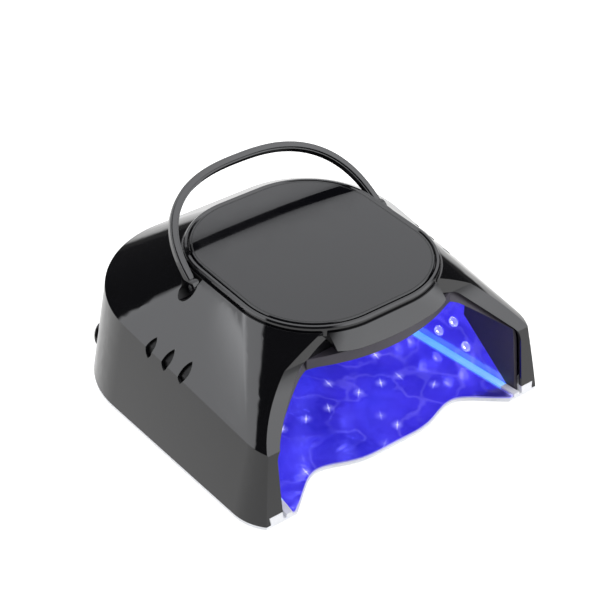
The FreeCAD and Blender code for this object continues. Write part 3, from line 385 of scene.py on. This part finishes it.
# vacuum-metallised PET film under violet light: a mirror with soft wrinkles; the light that the film
# carries from lamp to lamp is given as a low emission in drifting arcs
def makeFilm(name, settings):
    material, tree, place, shader = startMaterial(name)
    swirl = addNode(tree, "ShaderNodeTexNoise", None, {
        "Vector": place, "Scale": settings["swirlScale"], "Detail": 3.0})
    bent = addNode(tree, "ShaderNodeVectorMath", {"operation": "SCALE"}, {
        0: swirl.outputs["Color"], "Scale": settings["swirlReach"]})
    moved = addNode(tree, "ShaderNodeVectorMath", {"operation": "ADD"}, {0: place, 1: bent.outputs[0]})
    cloud = addNode(tree, "ShaderNodeTexNoise", None, {
        "Vector": moved.outputs[0], "Scale": settings["depthScale"], "Detail": 5.0, "Roughness": 0.6})
    spread = addNode(tree, "ShaderNodeMapRange", None, {
        "Value": cloud.outputs["Fac"], "From Min": 0.34, "From Max": 0.66, "To Min": 0.0, "To Max": 1.0})
    depth = addNode(tree, "ShaderNodeMix", {"data_type": "RGBA"}, {"Factor": spread.outputs["Result"]})
    depth.inputs["A"].default_value = toLinear(settings["deep"])
    depth.inputs["B"].default_value = toLinear(settings["violet"])
    # soft bright arcs where the warped noise crosses its middle
    veil = addNode(tree, "ShaderNodeTexNoise", None, {
        "Vector": moved.outputs[0], "Scale": 1 / settings["veilPitch"], "Detail": 0.0})
    ridge = addNode(tree, "ShaderNodeMath", {"operation": "SUBTRACT"}, {0: veil.outputs["Fac"], 1: 0.5})
    ridge = addNode(tree, "ShaderNodeMath", {"operation": "ABSOLUTE"}, {0: ridge.outputs[0]})
    thin = addNode(tree, "ShaderNodeMapRange", {"interpolation_type": "SMOOTHSTEP"}, {
        "Value": ridge.outputs[0], "From Min": 0.0, "From Max": settings["veilWidth"],
        "To Min": settings["veilShare"], "To Max": 0.0})
    patch = addNode(tree, "ShaderNodeMath", {"operation": "MULTIPLY"}, {
        0: thin.outputs["Result"], 1: spread.outputs["Result"]})
    lit = addNode(tree, "ShaderNodeMix", {"data_type": "RGBA"}, {"Factor": patch.outputs[0]})
    tree.links.new(depth.outputs["Result"], lit.inputs["A"])
    lit.inputs["B"].default_value = toLinear(settings["pale"])
    colour = lit.outputs["Result"]
    level = driftValue(tree, moved.outputs[0], 1 / settings["cloudPitch"],
                       settings["strength"] * settings["cloudLow"],
                       settings["strength"] * settings["cloudHigh"], 1.0)
    if settings["paintedGlints"]:
        # painted glints mixed into the emission colour and strength
        paintedGlint = makePaintedGlints(tree, place, settings)
        hot = addNode(tree, "ShaderNodeMix", {"data_type": "RGBA"}, {"Factor": paintedGlint.outputs[0]})
        tree.links.new(colour, hot.inputs["A"])
        hot.inputs["B"].default_value = toLinear(settings["white"])
        colour = hot.outputs["Result"]
        level = addNode(tree, "ShaderNodeMath", {"operation": "MULTIPLY_ADD"}, {
            0: paintedGlint.outputs[0], 1: settings["paintedGlintStrength"], 2: level}).outputs[0]
    wave = grainBump(tree, moved.outputs[0], 1 / settings["wavePitch"],
                     settings["waveHeight"] * settings["wrinkle"], 1.0)
    setInputs(tree, shader, {
        "Base Color": driftColour(tree, place, 30, settings["tint"], settings["tintHigh"]),
        "Metallic": 1.0,
        "Roughness": driftValue(tree, place, 50, settings["rough"],
                                settings["rough"] * settings["roughSpread"], 3.0),
        "Normal": grainBump(tree, moved.outputs[0], 1 / settings["creasePitch"],
                            settings["creaseHeight"] * settings["wrinkle"], 1.0, wave),
        "Emission Color": colour,
        "Emission Strength": level})
    return material


# side walls and roof: wrinkled, a little milky, evenly lit
linerSettings = dict(glowSettings, strength=0.55, tint="#8a86c8", rough=0.14, wrinkle=1.0, paintedGlints=False)
# floor: flatter and clearer, with the lamps' reflections standing in it as painted glints
mirrorSettings = dict(glowSettings, strength=0.44, tint="#8e8ad0", rough=0.13, wrinkle=0.8, paintedGlints=True)
reflectorFilm = makeFilm("metallised reflector film lit violet", linerSettings)
mirrorFilm = makeFilm("metallised mirror film lit violet", mirrorSettings)

lensSettings = {
    "low": "#c9c8ff", "high": "#e4e4ff", "roughLow": 0.02, "roughHigh": 0.06, "clear": 0.92,
    "glowLow": "#6a68ff", "glowHigh": "#a9aeff", "glowStrength": 0.3,
    "ripplePitch": 1.5 * mm, "rippleHeight": 0.03 * mm,
}


# clear PMMA caps: the chip shows through, with a painted violet glow in the dome standing in for the chip's
# light
def makeLens(name, settings):
    material, tree, place, shader = startMaterial(name)
    setInputs(tree, shader, {
        "Base Color": driftColour(tree, place, 200, settings["low"], settings["high"]),
        "Roughness": driftValue(tree, place, 400, settings["roughLow"], settings["roughHigh"]),
        "IOR": 1.49, "Transmission Weight": settings["clear"],
        # painted glow: emission on the cap itself, which is no lamp
        "Emission Color": driftColour(tree, place, 500, settings["glowLow"], settings["glowHigh"]),
        "Emission Strength": settings["glowStrength"],
        "Normal": grainBump(tree, place, 1 / settings["ripplePitch"], settings["rippleHeight"], 1.0)})
    return material


lensClearPaintedGlow = makeLens("clear moulded PMMA lit", lensSettings)

chipSettings = {"body": "#e8e8ff", "glowLow": "#8fa0ff", "glowHigh": "#ffffff", "glowStrength": 14.0}


# the lit chip under clear silicone: glaring white with pale violet patches
def makeEmitter(name, settings):
    material, tree, place, shader = startMaterial(name)
    setInputs(tree, shader, {
        "Base Color": toLinear(settings["body"]),
        "Roughness": driftValue(tree, place, 600, 0.3, 0.5),
        "Emission Color": driftColour(tree, place, 900, settings["glowLow"], settings["glowHigh"]),
        "Emission Strength": settings["glowStrength"]})
    return material


ledChip = makeEmitter("ultraviolet LED chip lit", chipSettings)

materialOf = {
    "base_plate": baseWhitePaintedGlow, "mirror_sheet": mirrorFilm, "base_feet": footRubber, "base_steel_pads": steel,
    "outer_housing": glossAbs, "arch_bezel": bezelAbs, "panel_ring": ringAbs, "top_panel": panelAcrylic,
    "touch_board": greenBoard, "touch_connector": whiteAbs, "carry_handle": handleAbs,
    "handle_pin_right": steel, "handle_pin_left": steel,
    "pivot_bush_right": bushNylon, "pivot_bush_left": bushNylon,
    "vent_grille_right": ventAbs, "vent_grille_left": ventAbs, "reflector_liner": reflectorFilm,
    "lenses_right": lensClearPaintedGlow, "lenses_left": lensClearPaintedGlow, "lenses_roof": lensClearPaintedGlow, "led_emitters": ledChip,
    "led_board_right": whiteBoard, "led_board_left": whiteBoard, "led_board_roof": whiteBoard,
    "hand_sensor": sensorDark, "control_board": greenBoard, "board_posts": brass, "board_screws": steel,
    "fan_frame": fanPbt, "fan_rotor": fanPbt, "battery_tray": bezelAbs, "battery_cells": cellWrap,
    "power_button": glossAbs, "button_switch": whiteBoard, "dc_socket": fanPbt, "bottom_cover": coverAbs,
    "cover_magnets": nickel, "cover_screws": steel,
}
for name, obj in nodes.items():
    obj.data.materials.clear()
    obj.data.materials.append(materialOf[name])

print("pieces: merged, smooth copies of the visible mouldings")


# every corner takes the mean of the faces around it that lean less than the limit away from its own face,
# weighted by area and corner angle: flat walls stay flat and drafted corners stay round
def cornerNormals(mesh, limitAngle):
    limit = cos(radians(limitAngle))
    areas = {face: face.calc_area() for face in mesh.faces}
    normals = []
    for face in mesh.faces:
        for corner in face.loops:
            total = Vector((0.0, 0.0, 0.0))
            for near in corner.vert.link_loops:
                if near.face.normal.dot(face.normal) > limit:
                    total += near.face.normal * areas[near.face] * near.calc_angle()
            normals.append(total.normalized() if total.length > 0 else face.normal.copy())
    return normals


dressSettings = {"joinGap": 0.002 * mm, "flatAngle": 0.15, "limitAngle": 20}     # angles in degrees


# a copy of a CAD node with its triangles joined, flat faces dissolved and curved ones smooth
def dressPiece(nodeName, newName, settings=dressSettings):
    mesh = bmesh.new()
    mesh.from_mesh(nodes[nodeName].data)
    bmesh.ops.remove_doubles(mesh, verts=mesh.verts, dist=settings["joinGap"])
    bmesh.ops.dissolve_limit(mesh, angle_limit=radians(settings["flatAngle"]),
                             verts=mesh.verts, edges=mesh.edges)
    mesh.normal_update()
    normals = cornerNormals(mesh, settings["limitAngle"])
    data = bpy.data.meshes.new(newName)
    mesh.to_mesh(data)
    mesh.free()
    data.shade_smooth()
    data.normals_split_custom_set(normals)
    data.materials.append(materialOf[nodeName])
    piece = bpy.data.objects.new(newName, data)
    bpy.context.collection.objects.link(piece)
    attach(piece, bodyOf[nodeName])
    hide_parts(nodeName)
    return piece


dressed = {
    "outer_housing": "housing_shell", "carry_handle": "carry_bail", "panel_ring": "panel_bead",
    "top_panel": "panel_sheet", "arch_bezel": "arch_trim", "base_plate": "base_tray",
    "mirror_sheet": "base_mirror", "reflector_liner": "reflector_shell", "power_button": "button_cap",
    "dc_socket": "inlet_jack", "bottom_cover": "cover_plate", "base_feet": "rubber_feet",
    "vent_grille_right": "vent_strip_right", "vent_grille_left": "vent_strip_left",
    "hand_sensor": "sensor_window",
}
pieces = {node: dressPiece(node, label) for node, label in dressed.items()}

pocketSettings = {
    "inner": 66 * mm, "outer": 92 * mm, "low": 84 * mm, "front": -4 * mm, "back": 40 * mm,
    "sideLean": 0.12, "endLean": 0.97, "flatLean": 0.99,     # how squarely a wall faces sideways or up
}


# the pockets of the bail keep the raw, matt wall that the mould's slides leave
def darkenPockets(piece, settings):
    piece.data.materials.append(ventAbs)
    for face in piece.data.polygons:
        center, normal = face.center, face.normal
        inPocket = settings["inner"] < abs(center.x) < settings["outer"] and center.z > settings["low"]
        inPocket = inPocket and settings["front"] < center.y < settings["back"]
        upright = abs(normal.x) < settings["sideLean"] or abs(normal.x) > settings["endLean"]
        if inPocket and upright and abs(normal.z) < settings["flatLean"]:
            face.material_index = 1


darkenPockets(pieces["outer_housing"], pocketSettings)

print("stage: floor, world, lamps, camera")
stageSettings = {
    "floorRadius": 6.0, "floorDrop": 0.2 * mm, "floorShade": "#f4f4f4", "cameraGlow": 0.62,
    "tableReach": 0.75, "tableFade": 0.5, "tableNear": 0.95, "tableFar": 0.06,
    # the dark bar across the boxes: its plane, half its thickness, its soft edge, how dark, where it ends
    "barPlane": (0.029, 0.619, -0.784), "barHalf": 0.0036, "barSoft": 0.3, "barDark": 0.12, "barEnd": 0.15,
    # soft boxes that gloss sees: direction, full within and gone beyond (degrees), strength
    "boxes": [((0.4545, 0.4545, 0.766), 28, 44, 1.3), ((-0.703, 0.457, 0.545), 13.5, 17, 2.1),
              ((-0.759, 0.637, 0.139), 10, 20, 1.7), ((0.541, -0.601, 0.588), 24, 42, 2.4)],
    "roomDark": 0.03, "roomLight": 0.5, "boxTint": (0.96, 0.97, 1, 1),
}


# matt paper table: white to the eye with the shadow kept; gloss sees it bright near by and dim far off
def makeFloor(settings):
    mesh = bmesh.new()
    bmesh.ops.create_circle(mesh, cap_ends=True, segments=64, radius=settings["floorRadius"])
    data = bpy.data.meshes.new("studio_floor")
    mesh.to_mesh(data)
    mesh.free()
    floor = bpy.data.objects.new("studio_floor", data)
    floor.location.z = -settings["floorDrop"]
    bpy.context.collection.objects.link(floor)
    material = bpy.data.materials.new("matt paper white")
    material.use_nodes = True
    tree = material.node_tree
    tree.nodes.clear()
    place = addNode(tree, "ShaderNodeTexCoord").outputs["Object"]
    path = addNode(tree, "ShaderNodeLightPath")
    far = addNode(tree, "ShaderNodeVectorMath", {"operation": "LENGTH"}, {0: place})
    dim = addNode(tree, "ShaderNodeMapRange", {"interpolation_type": "SMOOTHSTEP"}, {
        "Value": far.outputs["Value"], "From Min": settings["tableReach"] - settings["tableFade"] / 2,
        "From Max": settings["tableReach"] + settings["tableFade"] / 2,
        "To Min": settings["tableNear"], "To Max": settings["tableFar"]})
    matt = addNode(tree, "ShaderNodeBsdfDiffuse", None, {"Color": toLinear(settings["floorShade"])})
    glow = addNode(tree, "ShaderNodeEmission", None, {"Strength": settings["cameraGlow"]})
    seen = addNode(tree, "ShaderNodeAddShader", None, {0: matt.outputs[0], 1: glow.outputs[0]})
    gloss = addNode(tree, "ShaderNodeEmission", None, {"Strength": dim.outputs["Result"]})
    first = addNode(tree, "ShaderNodeMixShader", None, {
        0: path.outputs["Is Camera Ray"], 1: matt.outputs[0], 2: seen.outputs[0]})
    second = addNode(tree, "ShaderNodeMixShader", None, {
        0: path.outputs["Is Glossy Ray"], 1: first.outputs[0], 2: gloss.outputs[0]})
    addNode(tree, "ShaderNodeOutputMaterial", None, {"Surface": second.outputs[0]})
    data.materials.append(material)


makeFloor(stageSettings)


# white to the camera; gloss sees a dark room with soft boxes and a narrow dark bar across them
def makeWorld(settings):
    world = bpy.data.worlds.new("studio")
    bpy.context.scene.world = world
    world.use_nodes = True
    tree = world.node_tree
    tree.nodes.clear()
    direction = addNode(tree, "ShaderNodeTexCoord").outputs["Generated"]
    path = addNode(tree, "ShaderNodeLightPath")
    total = None
    for toward, inner, outer, strength in settings["boxes"]:
        facing = addNode(tree, "ShaderNodeVectorMath", {"operation": "DOT_PRODUCT"}, {
            0: direction, 1: toward})
        glow = addNode(tree, "ShaderNodeMapRange", {"interpolation_type": "SMOOTHSTEP"}, {
            "Value": facing.outputs["Value"],
            "From Min": cos(radians(outer)), "From Max": cos(radians(inner)),
            "To Min": 0.0, "To Max": strength})
        last = settings["roomDark"] if total is None else total.outputs[0]
        total = addNode(tree, "ShaderNodeMath", {"operation": "ADD"}, {0: glow.outputs["Result"], 1: last})
    bar = addNode(tree, "ShaderNodeVectorMath", {"operation": "DOT_PRODUCT"}, {
        0: direction, 1: settings["barPlane"]})
    bar = addNode(tree, "ShaderNodeMath", {"operation": "ABSOLUTE"}, {0: bar.outputs["Value"]})
    bar = addNode(tree, "ShaderNodeMapRange", None, {
        "Value": bar.outputs[0], "From Min": settings["barHalf"] * (1 - settings["barSoft"]),
        "From Max": settings["barHalf"] * (1 + settings["barSoft"]),
        "To Min": settings["barDark"], "To Max": 1.0})
    # the bar stands on the right only, where the top panel looks
    sideways = addNode(tree, "ShaderNodeSeparateXYZ", None, {"Vector": direction})
    beside = addNode(tree, "ShaderNodeMapRange", None, {
        "Value": sideways.outputs["X"], "From Min": 0.0, "From Max": settings["barEnd"],
        "To Min": 1.0, "To Max": 0.0})
    bar = addNode(tree, "ShaderNodeMath", {"operation": "MAXIMUM"}, {
        0: bar.outputs[0], 1: beside.outputs["Result"]})
    level = addNode(tree, "ShaderNodeMath", {"operation": "MULTIPLY"}, {
        0: total.outputs[0], 1: bar.outputs[0]})
    room = addNode(tree, "ShaderNodeBackground", None, {
        "Color": (1, 1, 1, 1), "Strength": settings["roomLight"]})
    gloss = addNode(tree, "ShaderNodeBackground", None, {
        "Color": settings["boxTint"], "Strength": level.outputs[0]})
    white = addNode(tree, "ShaderNodeBackground", None, {"Color": (1, 1, 1, 1), "Strength": 1.0})
    first = addNode(tree, "ShaderNodeMixShader", None, {
        0: path.outputs["Is Glossy Ray"], 1: room.outputs[0], 2: gloss.outputs[0]})
    second = addNode(tree, "ShaderNodeMixShader", None, {
        0: path.outputs["Is Camera Ray"], 1: first.outputs[0], 2: white.outputs[0]})
    addNode(tree, "ShaderNodeOutputWorld", None, {"Surface": second.outputs[0]})


makeWorld(stageSettings)

lampTarget = Vector((0, 0, 0.06))
lampRows = [
    # name, place, width, height, watts
    ("flank_box", (-1.125, 0.731, 0.872), 1.25, 1.2, 11.5),
    ("front_box", (0.842, -1.004, 0.95), 1.7, 1.45, 17.0),
]
for name, place, width, height, watts in lampRows:
    light = bpy.data.lights.new(name, "AREA")
    light.shape = "RECTANGLE"
    light.size, light.size_y = width, height
    light.energy = watts
    lamp = bpy.data.objects.new(name, light)
    lamp.location = place
    lamp.rotation_euler = (lampTarget - Vector(place)).to_track_quat("-Z", "Y").to_euler()
    lamp.visible_glossy = False     # gloss sees the soft boxes of the world instead
    bpy.context.collection.objects.link(lamp)

cameraSettings = {
    "place": (-0.50291, -0.66817, 0.67415), "tilt": 53.45, "roll": 0.08, "heading": -36.97,
    "lens": 96.53, "sensor": 36.0, "shiftX": 0.0038, "shiftY": 0.0014,
}
cameraData = bpy.data.cameras.new("camera")
cameraData.lens = cameraSettings["lens"]
cameraData.sensor_width = cameraSettings["sensor"]
cameraData.shift_x = cameraSettings["shiftX"]
cameraData.shift_y = cameraSettings["shiftY"]
camera = bpy.data.objects.new("camera", cameraData)
camera.location = cameraSettings["place"]
camera.rotation_euler = [radians(cameraSettings[turn]) for turn in ("tilt", "roll", "heading")]
bpy.context.collection.objects.link(camera)
bpy.context.scene.camera = camera
bpy.context.scene.view_settings.view_transform = "Standard"
